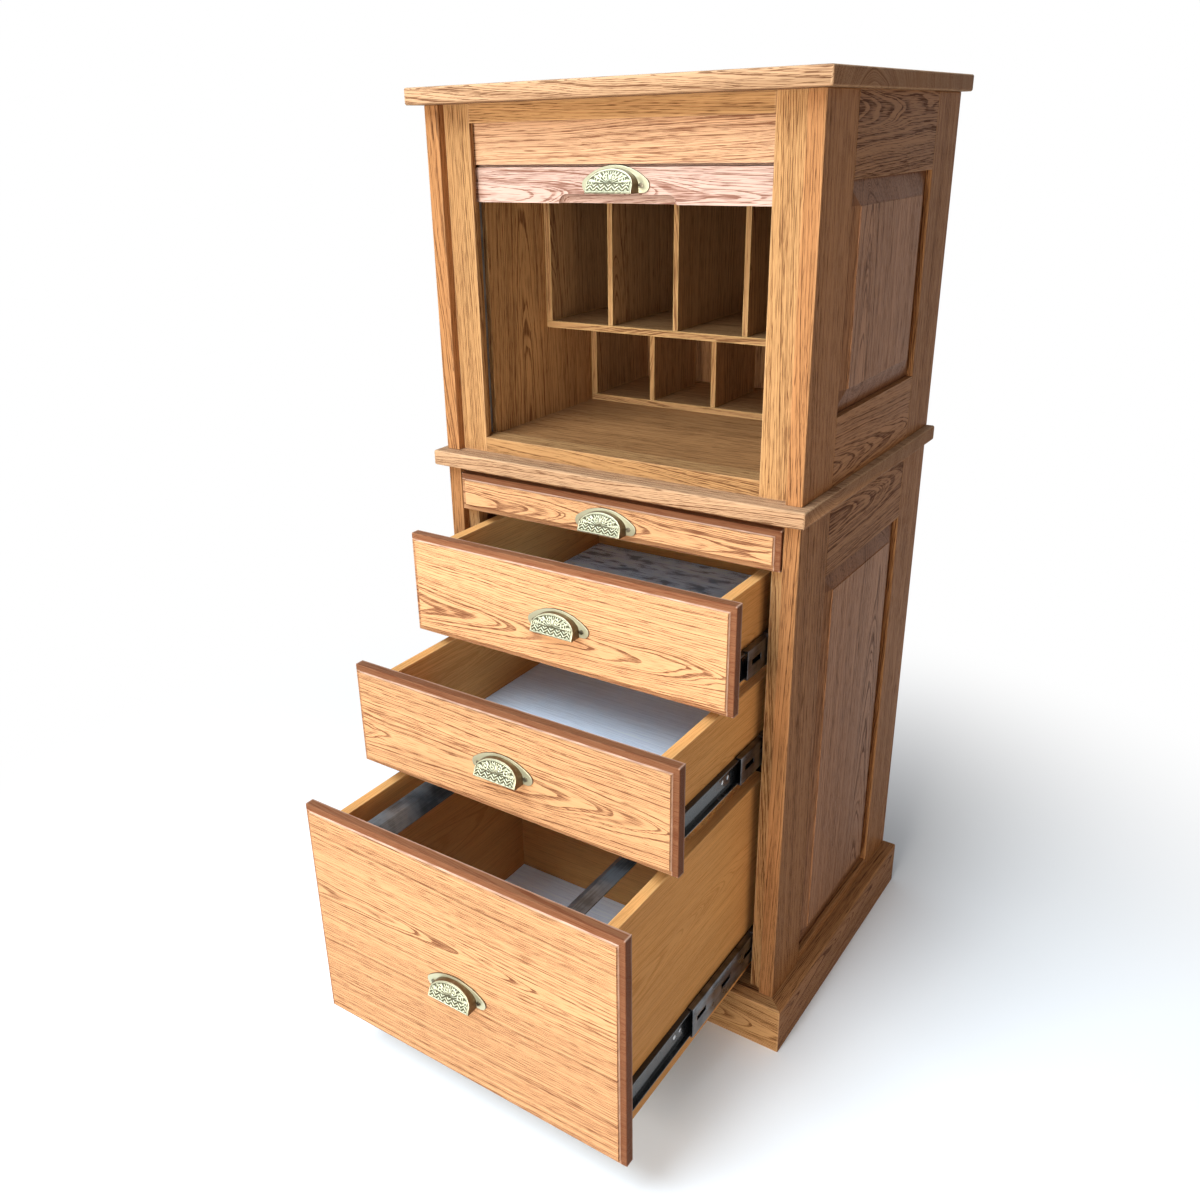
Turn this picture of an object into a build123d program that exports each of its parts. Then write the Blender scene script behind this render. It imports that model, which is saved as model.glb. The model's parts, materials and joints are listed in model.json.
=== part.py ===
from build123d import *
import os
from math import cos, degrees, pi, sin

os.makedirs("parts", exist_ok=True)

# Tall oak roll-top secretary with a file-drawer base.
# Frame: x to the right, y towards the rear, z up; the front faces -y.
# The origin lies on the floor, in the middle of the rear plane.

# Cases
case_width = 560.0
case_depth = 468.0
side_thickness = 22.0
upper_height = 462.0
base_top_thickness = 22.0
base_top_side_overhang = 12.0
base_top_front_overhang = 18.5
crown_thickness = 21.0
crown_side_overhang = 14.5
crown_front_overhang = 22.0
eased_radius = 3.0
back_thickness = 6.0
back_fit = 0.3

# Side frames and raised panels
side_stile_width = 94.0
upper_top_rail = 95.0
upper_bottom_rail = 91.0
base_top_rail = 99.5
base_bottom_rail = 93.0
groove_depth = 8.0
groove_setback = 8.75
tongue_thickness = 6.0
tongue_length = 7.0
groove_fit = 0.25
bevel_width = 30.0
panel_shoulder = 1.2
panel_gap = 0.5

# Upper face frame, sill and fascia
face_recess = 13.0
upper_stile_width = 41.7
upper_stile_thickness = 8.0
face_rail_thickness = 11.0
face_rail_height = 23.5
sill_height = 21.5
sill_depth = 35.0
floor_drop = 2.0
fascia_thickness = 7.5
fascia_height = 50.5

# Track liners and the tambour
liner_setback = 5.7
liner_thickness = 18.0
track_front_lip = 12.0
track_clearance = 2.0
track_depth = 8.0
track_top_lip = 9.0
track_radius = 50.0
track_rear_stop = 40.0
strip_thickness = 0.8
slat_thickness = 10.0
slat_face = 15.0
slat_pitch = 16.0
slat_end_gap = 0.5
curtain_gap = 0.3
canvas_thickness = 1.0
canvas_inset = 12.0
liner_cleat_height = 40.0
liner_cleat_count = 3

# Glue line left between boards that stay separate solids
glue_line = 0.1

# Lift rail
lift_rail_height = 43.0
lift_rail_thickness = 19.0
lift_rail_gap = 3.5
lift_rail_set = 6.0
lift_side_gap = 0.5
lift_tongue_gap = 0.5
lift_stop_gap = 0.5
scoop_radius = 11.0
scoop_length = 150.0
lift_pull_above_bottom = 22.0

# Pigeonhole inserts
insert_fit = 0.5
insert_board = 10.0
insert_divider = 8.0
insert_dividers = 3
upper_insert_depth = 288.0
upper_insert_top_gap = 16.5
lower_insert_depth = 168.0
lower_insert_height = 134.0
lower_divider_back_gap = 25.0

# Base case
plinth_height = 76.0
plinth_thickness = 22.5
plinth_front_thickness = 22.0
base_stile_width = 19.5
base_frame_thickness = 20.0
base_floor_top = 72.0
base_floor_thickness = 19.0
base_toe_gap = 20.0
divider_rail_thickness = 12.0
top_rail_cover = 8.0
base_top_reveal = 11.5

# Drawer fronts, from the bottom up
drawer_3_clear = 10.0
drawer_3_height = 351.5
drawer_3_gap = 9.0
drawer_2_height = 152.5
drawer_2_gap = 2.0
drawer_1_height = 149.5
drawer_1_gap = 3.0
pencil_height = 55.5
front_side_gap = 2.0
front_edge_thickness = 14.0
front_field_rise = 5.0
front_rim = 9.5
front_cove = 4.0
front_arris = 1.5

# Drawer boxes
slide_thickness = 13.0
box_side = 15.0
box_rise = 2.5
box_top_drop = 15.0
file_box_top_drop = 19.0
box_rear_gap = 40.0
bottom_thickness = 5.0
bottom_rise = 3.5
bottom_groove = 6.0
bottom_fit = 0.25

# How far each drawer stands open
drawer_1_out = 117.0
drawer_2_out = 250.0
drawer_3_out = 369.0

# Ball-bearing slides
slide_front_gap = 5.0
slide_rear_gap = 50.0
slide_web = 1.2
slide_flange = 2.0
slide_run_gap = 0.3
slide_nest = 2.0
slide_reach = 10.0
slide_slot_length = 26.0
slide_slot_width = 8.0
slide_slot_count = 5
slide_slot_spacing = 72.0
slide_height = 46.0
file_slide_height = 54.0
slide_rise = 31.0
file_slide_rise = 53.0
cleat_margin = 4.0
cleat_rear_gap = 35.0
drawer_2_middle_lag = 60.0

# Hanging-file rails
hanger_steel = 1.6
hanger_outer = 177.0
hanger_edge = 157.0
hanger_inner = 141.0
hanger_slope = 16.0
hanger_drop = 3.5

# Pencil drawer and its runners
pencil_box_gap = 1.0
pencil_side = 12.0
pencil_guide = 6.0
pencil_runner_width = 26.0
pencil_rear_gap = 60.0
pencil_bottom_rise = 1.5
pencil_run_gap = 0.3

# Cup pulls
pull_width = 98.0
pull_screw_centres = 76.0
pull_top = 23.5
pull_bottom = 9.0
pull_ear_radius = 9.0
pull_plate = 2.2
pull_plate_round = 0.7
drawer_3_pull_drop = 12.0
cup_half_width = 34.0
cup_height = 20.0
cup_top_projection = 9.0
cup_projection = 21.0
cup_wall = 1.8
cup_round = 1.5
screw_head_radius = 3.2
screw_head_height = 1.5
screw_radius = 1.6
screw_length = 14.0
screw_slot = 0.9
screw_turn = 30.0
pilot_fit = 0.2

# Heights that follow from the drawers
drawer_3_bottom = base_floor_top + drawer_3_clear
drawer_2_bottom = drawer_3_bottom + drawer_3_height + drawer_3_gap
drawer_1_bottom = drawer_2_bottom + drawer_2_height + drawer_2_gap
pencil_bottom_z = drawer_1_bottom + drawer_1_height + drawer_1_gap
base_height = pencil_bottom_z + pencil_height + base_top_reveal
desk_z = base_height + base_top_thickness
upper_top = desk_z + upper_height

# Widths and depths that follow from the cases
outer_x = case_width / 2
inner_x = outer_x - side_thickness
face_y = -case_depth + face_recess
back_y = -back_thickness
front_edge_y = -case_depth + side_stile_width
rear_edge_y = -side_stile_width
tongue_x = (outer_x - groove_setback - groove_fit - tongue_thickness,
            outer_x - groove_setback - groove_fit)
groove_x = (tongue_x[0] - groove_fit, tongue_x[1] + groove_fit)

# Upper case places
stile_inner_x = inner_x - upper_stile_width
stile_back_y = face_y + upper_stile_thickness
liner_x = stile_inner_x + liner_setback
liner_outer_x = liner_x + liner_thickness
sill_top = desk_z + sill_height
sill_back_y = face_y + sill_depth
desk_floor_top = sill_top - floor_drop
rail_bottom_z = upper_top - face_rail_height
fascia_bottom = rail_bottom_z - fascia_height
fascia_y = face_y + face_rail_thickness

# Track places
track_width = slat_thickness + canvas_thickness + track_clearance
track_y = stile_back_y + track_front_lip + track_width / 2
run_z = upper_top - track_top_lip - track_width / 2
bend_z = run_z - track_radius
bend_y = track_y + track_radius
track_end_x = liner_x + track_depth
slat_half = track_end_x - strip_thickness - slat_end_gap
slat_shift = canvas_thickness / 2
slat_radius = track_radius + slat_shift
glue_radius = slat_radius - slat_thickness / 2

# Base case places
base_stile_x = inner_x - base_stile_width
base_frame_back = face_y + base_frame_thickness
divider_rail_z = pencil_bottom_z - drawer_1_gap / 2
top_rail_z = pencil_bottom_z + pencil_height - top_rail_cover
front_half = inner_x - front_side_gap
box_half = base_stile_x - slide_thickness
box_inner = box_half - box_side
box_back_y = -box_rear_gap
front_thickness = front_edge_thickness + front_field_rise
slide_length = -face_y - slide_front_gap - slide_rear_gap
middle_length = slide_length - drawer_2_middle_lag


def board(x_range, y_range, z_range, mode=Mode.ADD):
    """Add or cut a board that fills the given ranges."""
    size = [high - low for low, high in (x_range, y_range, z_range)]
    middle = [(high + low) / 2 for low, high in (x_range, y_range, z_range)]
    with Locations(tuple(middle)):
        Box(size[0], size[1], size[2], mode=mode)


# Crown board on top of the upper case, with eased edges.
with BuildPart() as crown_top:
    crown_x = outer_x + crown_side_overhang
    board((-crown_x, crown_x), (-case_depth - crown_front_overhang, 0),
          (upper_top, upper_top + crown_thickness))
    crown_edges = crown_top.edges() - crown_top.faces().sort_by(Axis.Y)[-1].edges()
    fillet(crown_edges, eased_radius)
crown_top.part.label = "crown_top"
export_step(crown_top.part, "parts/crown_top.step")

# Top slab of the base, which carries the upper case.
with BuildPart() as base_top:
    slab_x = outer_x + base_top_side_overhang
    board((-slab_x, slab_x), (-case_depth - base_top_front_overhang, 0), (base_height, desk_z))
    slab_edges = base_top.edges() - base_top.faces().sort_by(Axis.Y)[-1].edges()
    fillet(slab_edges, eased_radius)
base_top.part.label = "base_top"
export_step(base_top.part, "parts/base_top.step")


def side_frame(name, low, high, bottom_rail, top_rail):
    """Both frame-and-panel sides of one case: stiles, tenoned rails and raised panels."""
    opening = (low + bottom_rail, high - top_rail)

    with BuildPart() as stiles:
        board((inner_x, outer_x), (-case_depth, front_edge_y), (low, high))
        board((inner_x, outer_x), (rear_edge_y, 0), (low, high))
        board(groove_x, (front_edge_y - groove_depth, rear_edge_y + groove_depth), (low, high),
              mode=Mode.SUBTRACT)
        mirror(about=Plane.YZ)
    stiles.part.label = f"{name}_side_stiles"
    export_step(stiles.part, f"parts/{name}_side_stiles.step")

    with BuildPart() as rails:
        for rail in ((low, opening[0]), (opening[1], high)):
            board((inner_x, outer_x), (front_edge_y, rear_edge_y), rail)
            board(tongue_x, (front_edge_y - tongue_length, rear_edge_y + tongue_length), rail)
        board(groove_x, (front_edge_y - groove_depth, rear_edge_y + groove_depth),
              (opening[0] - groove_depth, opening[1] + groove_depth), mode=Mode.SUBTRACT)
        mirror(about=Plane.YZ)
    rails.part.label = f"{name}_side_rails"
    export_step(rails.part, f"parts/{name}_side_rails.step")

    panel_middle = ((front_edge_y + rear_edge_y) / 2, (opening[0] + opening[1]) / 2)
    panel_width = rear_edge_y - front_edge_y
    panel_height = opening[1] - opening[0]
    with BuildPart() as panels:
        with BuildSketch(Plane.YZ.offset(tongue_x[0])):
            with Locations(panel_middle):
                Rectangle(panel_width + 2 * tongue_length, panel_height + 2 * tongue_length)
        extrude(amount=tongue_thickness)
        with BuildSketch(Plane.YZ.offset(tongue_x[1])):
            with Locations(panel_middle):
                Rectangle(panel_width - 2 * panel_gap, panel_height - 2 * panel_gap)
        with BuildSketch(Plane.YZ.offset(outer_x - panel_shoulder)):
            with Locations(panel_middle):
                Rectangle(panel_width - 2 * bevel_width, panel_height - 2 * bevel_width)
        loft()
        extrude(panels.faces().sort_by(Axis.X)[-1], amount=panel_shoulder)
        mirror(about=Plane.YZ)
    panels.part.label = f"{name}_side_panels"
    export_step(panels.part, f"parts/{name}_side_panels.step")


side_frame("upper", desk_z, upper_top, upper_bottom_rail, upper_top_rail)
side_frame("base", 0, base_height, base_bottom_rail, base_top_rail)

# Face stiles of the upper case, rebated behind for the track liners.
with BuildPart() as upper_face_stiles:
    board((stile_inner_x, inner_x), (face_y, stile_back_y), (desk_z, upper_top))
    board((liner_outer_x, inner_x), (face_y, stile_back_y + track_front_lip), (desk_z, upper_top))
    mirror(about=Plane.YZ)
upper_face_stiles.part.label = "upper_face_stiles"
export_step(upper_face_stiles.part, "parts/upper_face_stiles.step")

# Rail under the crown, between the face stiles.
with BuildPart() as upper_face_rail:
    board((-stile_inner_x, stile_inner_x), (face_y, fascia_y), (rail_bottom_z, upper_top))
upper_face_rail.part.label = "upper_face_rail"
export_step(upper_face_rail.part, "parts/upper_face_rail.step")

# Fascia behind the rail, which hides the top of the tambour.
with BuildPart() as fascia_board:
    board((-liner_x, liner_x), (fascia_y, fascia_y + fascia_thickness), (fascia_bottom, upper_top))
fascia_board.part.label = "fascia_board"
export_step(fascia_board.part, "parts/fascia_board.step")

# Sill on which the lift rail closes.
with BuildPart() as sill_rail:
    board((-stile_inner_x, stile_inner_x), (face_y, stile_back_y), (desk_z, sill_top))
    board((-liner_x, liner_x), (stile_back_y, sill_back_y), (desk_z, sill_top))
sill_rail.part.label = "sill_rail"
export_step(sill_rail.part, "parts/sill_rail.step")

# Writing surface inside the upper case.
with BuildPart() as desk_floor:
    board((-liner_x, liner_x), (sill_back_y, back_y), (desk_z, desk_floor_top))
desk_floor.part.label = "desk_floor"
export_step(desk_floor.part, "parts/desk_floor.step")

# Back panel of the upper case.
with BuildPart() as upper_back:
    board((-inner_x + back_fit, inner_x - back_fit), (back_y, 0), (desk_z, upper_top))
upper_back.part.label = "upper_back"
export_step(upper_back.part, "parts/upper_back.step")


def track_path():
    """The track's middle line in side view: up the front, round the bend, along under the crown."""
    with BuildLine() as path:
        front = Line((track_y, sill_top), (track_y, bend_z))
        bend = JernArc(front @ 1, (0, 1), track_radius, -90)
        Line(bend @ 1, (-track_rear_stop, run_z))
    return path.line


# Track liners: the inner side walls, with the groove that the tambour runs in.
with BuildPart() as track_liners:
    board((liner_x, liner_outer_x), (stile_back_y, back_y), (desk_z, upper_top))
    with BuildSketch(Plane.YZ.offset(liner_x)):
        trace(track_path(), line_width=track_width)
    extrude(amount=track_depth, mode=Mode.SUBTRACT)
    mirror(about=Plane.YZ)
track_liners.part.label = "track_liners"
export_step(track_liners.part, "parts/track_liners.step")

# Thin strips that face the bottom of each groove.
with BuildPart() as track_strips:
    with BuildSketch(Plane.YZ.offset(track_end_x - strip_thickness)):
        trace(track_path(), line_width=track_width)
    extrude(amount=strip_thickness)
    mirror(about=Plane.YZ)
track_strips.part.label = "track_strips"
export_step(track_strips.part, "parts/track_strips.step")

# Cleats that space the liners off the side frames.
with BuildPart() as liner_cleats:
    cleat_step = (upper_height - liner_cleat_height) / (liner_cleat_count - 1)
    for number in range(liner_cleat_count):
        cleat_z = desk_z + number * cleat_step
        board((liner_outer_x, inner_x), (stile_back_y + track_front_lip, back_y),
              (cleat_z, cleat_z + liner_cleat_height))
    mirror(about=Plane.YZ)
liner_cleats.part.label = "liner_cleats"
export_step(liner_cleats.part, "parts/liner_cleats.step")

# Pigeonhole inserts: the lower one stands on the desk floor and carries the upper one.
insert_half = liner_x - insert_fit
lower_insert_top = desk_floor_top + lower_insert_height
upper_insert_top = run_z - track_width / 2 - upper_insert_top_gap
divider_step = (2 * (insert_half - insert_board) + insert_divider) / (insert_dividers + 1)
divider_places = [divider_step * (number - (insert_dividers - 1) / 2) for number in range(insert_dividers)]


def shelf_case(name, depth, low, high, with_top):
    """One insert: its shelf boards, its two sides and its dividers."""
    side_low = low + insert_board + glue_line
    side_high = high - (insert_board + glue_line) * with_top
    with BuildPart() as case:
        board((-insert_half, insert_half), (-depth, back_y), (low, low + insert_board))
        if with_top:
            board((-insert_half, insert_half), (-depth, back_y), (high - insert_board, high))
        board((insert_half - insert_board, insert_half), (-depth, back_y), (side_low, side_high))
        board((-insert_half, insert_board - insert_half), (-depth, back_y), (side_low, side_high))
    case.part.label = f"{name}_shelf_case"
    export_step(case.part, f"parts/{name}_shelf_case.step")

    divider_back = back_y - lower_divider_back_gap * (not with_top)
    with BuildPart() as dividers:
        for place in divider_places:
            board((place - insert_divider / 2, place + insert_divider / 2), (-depth, divider_back),
                  (side_low, side_high))
    dividers.part.label = f"{name}_dividers"
    export_step(dividers.part, f"parts/{name}_dividers.step")


shelf_case("lower", lower_insert_depth, desk_floor_top, lower_insert_top, False)
shelf_case("upper", upper_insert_depth, lower_insert_top, upper_insert_top, True)


# Slats of the tambour that lie over the bend and along the top, glued to one canvas.
bend_length = glue_radius * pi / 2
stored_length = bend_length - track_rear_stop - bend_y
slat_count = int(stored_length / slat_pitch)
with BuildPart() as tambour_slats_stored:
    for number in range(slat_count):
        along = (number + 0.5) * slat_pitch
        turn = min(along, bend_length) / glue_radius
        run = max(along - bend_length, 0)
        slat_y = bend_y - slat_radius * cos(turn) + run
        slat_z = bend_z + slat_radius * sin(turn)
        with Locations(Location((0, slat_y, slat_z), (-degrees(turn), 0, 0))):
            Box(2 * slat_half, slat_thickness, slat_face)
tambour_slats_stored.part.label = "tambour_slats_stored"
export_step(tambour_slats_stored.part, "parts/tambour_slats_stored.step")

canvas_half = slat_half - canvas_inset
canvas_radius = glue_radius - canvas_thickness / 2
with BuildPart() as tambour_canvas:
    with BuildSketch(Plane.YZ.offset(-canvas_half)):
        with BuildLine():
            canvas_bend = JernArc((bend_y - canvas_radius, bend_z), (0, 1), canvas_radius, -90)
            Line(canvas_bend @ 1, (-track_rear_stop, bend_z + canvas_radius))
        trace(line_width=canvas_thickness)
    extrude(amount=2 * canvas_half)
tambour_canvas.part.label = "tambour_canvas"
export_step(tambour_canvas.part, "parts/tambour_canvas.step")


def drill_pilots(mount_y, ear_z):
    """Cut the blind holes that a pull's two screws go into."""
    with Locations(Plane(origin=(0, mount_y, ear_z), x_dir=(1, 0, 0), z_dir=(0, -1, 0))):
        with GridLocations(pull_screw_centres, 0, 2, 1):
            Hole(screw_radius + pilot_fit, depth=screw_length - pull_plate + pilot_fit)


# Lift rail, with tongues that ride in the grooves and a finger scoop under its front edge.
lift_top = fascia_bottom - lift_rail_gap
lift_bottom = lift_top - lift_rail_height
lift_front_y = stile_back_y + lift_rail_set
lift_back_y = lift_front_y + lift_rail_thickness
lift_ear_z = lift_bottom + lift_pull_above_bottom
track_front_y = track_y - track_width / 2
track_back_y = track_y + track_width / 2
with BuildPart() as lift_rail:
    board((lift_side_gap - liner_x, liner_x - lift_side_gap), (lift_front_y, lift_back_y),
          (lift_bottom, lift_top))
    board((-slat_half, slat_half), (track_front_y + lift_tongue_gap, track_back_y - lift_tongue_gap),
          (lift_bottom, lift_top))
    scoop_place = (0, lift_front_y, lift_bottom)
    with Locations(Location(scoop_place, (0, 90, 0))):
        Cylinder(scoop_radius, scoop_length, mode=Mode.SUBTRACT)
    with Locations((-scoop_length / 2, lift_front_y, lift_bottom),
                   (scoop_length / 2, lift_front_y, lift_bottom)):
        Sphere(scoop_radius, mode=Mode.SUBTRACT)
    drill_pilots(lift_front_y, lift_ear_z)
lift_rail.part.label = "lift_rail"
export_step(lift_rail.part, "parts/lift_rail.step")

# Slat and canvas between the lift rail and the bend; the tambour runs out from here.
with BuildPart() as tambour_curtain_front:
    curtain_z = (lift_top + curtain_gap, bend_z - curtain_gap)
    glue_y = track_y - slat_shift + slat_thickness / 2
    board((-slat_half, slat_half), (glue_y - slat_thickness, glue_y), curtain_z)
    board((-canvas_half, canvas_half), (glue_y, glue_y + canvas_thickness), curtain_z)
tambour_curtain_front.part.label = "tambour_curtain_front"
export_step(tambour_curtain_front.part, "parts/tambour_curtain_front.step")

# Face frame of the base: stiles, the rails over and under the pencil drawer, and the bottom rail.
with BuildPart() as base_face_stiles:
    board((base_stile_x, inner_x), (face_y, base_frame_back), (0, base_height))
    mirror(about=Plane.YZ)
base_face_stiles.part.label = "base_face_stiles"
export_step(base_face_stiles.part, "parts/base_face_stiles.step")

with BuildPart() as base_face_rails:
    rail_x = (-base_stile_x, base_stile_x)
    rail_y = (face_y, base_frame_back)
    board(rail_x, rail_y, (top_rail_z, base_height))
    board(rail_x, rail_y, (divider_rail_z, divider_rail_z + divider_rail_thickness))
    board(rail_x, rail_y, (base_toe_gap, base_floor_top))
    board((back_fit - inner_x, inner_x - back_fit), (-case_depth, face_y),
          (base_toe_gap, base_floor_top))
base_face_rails.part.label = "base_face_rails"
export_step(base_face_rails.part, "parts/base_face_rails.step")

# Bottom board and back panel of the base.
with BuildPart() as base_bottom:
    board((-inner_x, inner_x), (base_frame_back, back_y),
          (base_floor_top - base_floor_thickness, base_floor_top))
base_bottom.part.label = "base_bottom"
export_step(base_bottom.part, "parts/base_bottom.step")

with BuildPart() as base_back:
    board((back_fit - inner_x, inner_x - back_fit), (back_y, 0), (0, base_height))
base_back.part.label = "base_back"
export_step(base_back.part, "parts/base_back.step")

# Plinth boards, mitred at the front corners, with an eased top edge.
plinth_x = outer_x + plinth_thickness
plinth_y = -case_depth - plinth_front_thickness
with BuildPart() as plinth_front:
    with BuildSketch(Plane.XY):
        with BuildLine():
            Polyline((-plinth_x, plinth_y), (plinth_x, plinth_y), (outer_x, -case_depth),
                     (-outer_x, -case_depth), close=True)
        make_face()
    extrude(amount=plinth_height)
    fillet(plinth_front.faces().sort_by(Axis.Y)[0].edges().sort_by(Axis.Z)[-1], eased_radius)
plinth_front.part.label = "plinth_front"
export_step(plinth_front.part, "parts/plinth_front.step")

with BuildPart() as plinth_sides:
    with BuildSketch(Plane.XY):
        with BuildLine():
            Polyline((outer_x, 0), (outer_x, -case_depth), (plinth_x, plinth_y), (plinth_x, 0), close=True)
        make_face()
    extrude(amount=plinth_height)
    fillet(plinth_sides.faces().sort_by(Axis.X)[-1].edges().sort_by(Axis.Z)[-1], eased_radius)
    mirror(about=Plane.YZ)
plinth_sides.part.label = "plinth_sides"
export_step(plinth_sides.part, "parts/plinth_sides.step")


def cup_outline(height_shift=0.0, inset=0.0):
    """The cup's outline: half an ellipse over a straight-sided strip that runs down to its lip."""
    Ellipse(cup_half_width - inset, cup_height - inset)
    with Locations((0, -cup_height)):
        Rectangle(2 * cup_half_width, 2 * cup_height, mode=Mode.SUBTRACT)
    lip = pull_bottom + height_shift
    with Locations((0, -lip / 2)):
        Rectangle(2 * (cup_half_width - inset), lip)


def plate_outline():
    """The back plate's outline: a straight foot, two round ears and one arch tangent to both."""
    ear_x = pull_width / 2 - pull_ear_radius
    rise = pull_top - pull_ear_radius
    arch_z = (rise ** 2 - ear_x ** 2) / (2 * rise)
    reach = (pull_top - arch_z) / (rise - arch_z)
    meet = (ear_x * reach, arch_z - arch_z * reach)
    with BuildLine() as outline:
        Line((-ear_x, -pull_ear_radius), (ear_x, -pull_ear_radius))
        ThreePointArc((ear_x, -pull_ear_radius), (ear_x + pull_ear_radius, 0), meet)
        ThreePointArc(meet, (0, pull_top), (-meet[0], meet[1]))
        ThreePointArc((-meet[0], meet[1]), (-ear_x - pull_ear_radius, 0), (-ear_x, -pull_ear_radius))
    make_face(outline.edges())


def make_pull(name, mount_y, ear_z):
    """A cast cup pull: a plate with two eared ends, a hollow cup and two slotted screws."""
    face = Plane(origin=(0, mount_y, ear_z), x_dir=(1, 0, 0), z_dir=(0, -1, 0))
    slope_origin = face.from_local_coords((0, -pull_bottom, cup_projection))
    slope_end = face.from_local_coords((0, cup_height, cup_top_projection))
    slope = Plane(origin=slope_origin, x_dir=(1, 0, 0),
                  z_dir=Vector(1, 0, 0).cross(slope_end - slope_origin))

    with BuildPart() as cup:
        with BuildSketch(face):
            cup_outline()
        extrude(amount=cup_projection + cup_wall)
        split(bisect_by=slope, keep=Keep.BOTTOM)
        fillet(cup.faces().filter_by(slope).edges(), cup_round)

    with BuildPart() as hollow:
        with BuildSketch(face.offset(-cup_wall)):
            cup_outline(height_shift=cup_wall, inset=cup_wall)
        extrude(amount=cup_projection + 2 * cup_wall)
        split(bisect_by=slope.offset(-cup_wall), keep=Keep.BOTTOM)

    with BuildPart() as pull:
        with BuildSketch(face):
            plate_outline()
        extrude(amount=pull_plate)
        fillet(pull.faces().sort_by(Axis.Y)[0].edges(), pull_plate_round)
        add(cup.part)
        add(hollow.part, mode=Mode.SUBTRACT)
        with BuildSketch(face):
            with GridLocations(pull_screw_centres, 0, 2, 1):
                Circle(screw_radius + pilot_fit)
        extrude(amount=pull_plate, mode=Mode.SUBTRACT)
        with BuildSketch(face.offset(pull_plate - screw_length)):
            with GridLocations(pull_screw_centres, 0, 2, 1):
                Circle(screw_radius)
        extrude(amount=screw_length + glue_line)
        with BuildSketch(face.offset(pull_plate + glue_line)):
            with GridLocations(pull_screw_centres, 0, 2, 1):
                Circle(screw_head_radius)
        extrude(amount=screw_head_height)
        with BuildSketch(face.offset(pull_plate + glue_line + screw_head_height)):
            with GridLocations(pull_screw_centres, 0, 2, 1):
                Rectangle(2 * screw_head_radius, screw_slot, rotation=screw_turn)
        extrude(amount=-screw_slot, mode=Mode.SUBTRACT)
    pull.part.label = name
    export_step(pull.part, f"parts/{name}.step")


def make_front(name, bottom_z, height, out, ear_z):
    """A drawer front with a coved field raised inside a flat, eased rim."""
    middle_z = bottom_z + height / 2
    with BuildPart() as front:
        with BuildSketch(Plane.XZ.offset(out - face_y)):
            with Locations((0, middle_z)):
                Rectangle(2 * front_half, height)
        extrude(amount=front_edge_thickness)
        fillet(front.faces().sort_by(Axis.Y)[0].edges(), front_arris)
        with BuildSketch(Plane.XZ.offset(out - face_y + front_edge_thickness)):
            with Locations((0, middle_z)):
                Rectangle(2 * (front_half - front_rim), height - 2 * front_rim)
        extrude(amount=front_field_rise)
        rim_y = face_y - out - front_edge_thickness
        rim_edges = front.edges().filter_by_position(Axis.Y, rim_y - glue_line, rim_y + glue_line)
        inner_reach = front_half - front_rim + glue_line
        inner_height = height / 2 - front_rim + glue_line
        cove_edges = rim_edges.filter_by_position(Axis.X, -inner_reach, inner_reach)
        cove_edges = cove_edges.filter_by_position(Axis.Z, middle_z - inner_height, middle_z + inner_height)
        fillet(cove_edges, front_cove)
        drill_pilots(rim_y - front_field_rise, ear_z)
    front.part.label = f"{name}_front"
    export_step(front.part, f"parts/{name}_front.step")


def make_box(name, out, half, side, low, high, rear_gap, rise):
    """A drawer box of four boards, grooved for its bottom panel, and that panel."""
    front_y = face_y - out
    rear_y = -rear_gap - out
    inner = half - side
    panel = (low + rise, low + rise + bottom_thickness)
    with BuildPart() as box:
        board((inner, half), (front_y, rear_y), (low, high))
        board((-half, -inner), (front_y, rear_y), (low, high))
        end_x = (glue_line - inner, inner - glue_line)
        board(end_x, (front_y, front_y + side), (low, high))
        board(end_x, (rear_y - side, rear_y), (low, high))
        board((-inner - bottom_groove, inner + bottom_groove),
              (front_y + side - bottom_groove, rear_y - side + bottom_groove),
              (panel[0] - bottom_fit, panel[1] + bottom_fit), mode=Mode.SUBTRACT)
    box.part.label = f"{name}_box"
    export_step(box.part, f"parts/{name}_box.step")

    reach = bottom_groove - bottom_fit
    with BuildPart() as bottom:
        board((-inner - reach, inner + reach),
              (front_y + side - reach, rear_y - side + reach), panel)
    bottom.part.label = f"{name}_bottom"
    export_step(bottom.part, f"parts/{name}_bottom.step")


def channel(web_outer, tip, front_y, middle_z, height, long=slide_length, slots=False):
    """One steel slide member: a web with a flange along its top and bottom edges."""
    inward = -1 if tip < web_outer else 1
    web = sorted((web_outer, web_outer + inward * slide_web))
    reach = sorted((web_outer, tip))
    length = (front_y, front_y + long)
    board(web, length, (middle_z - height / 2, middle_z + height / 2))
    board(reach, length, (middle_z - height / 2, middle_z - height / 2 + slide_flange))
    board(reach, length, (middle_z + height / 2 - slide_flange, middle_z + height / 2))
    if slots:
        with Locations(Plane(origin=(web[0], front_y + long / 2, middle_z),
                             x_dir=(0, 1, 0), z_dir=(1, 0, 0))):
            with GridLocations(slide_slot_spacing, 0, slide_slot_count, 1):
                Box(slide_slot_length, slide_slot_width, 2 * slide_web, mode=Mode.SUBTRACT)


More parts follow.
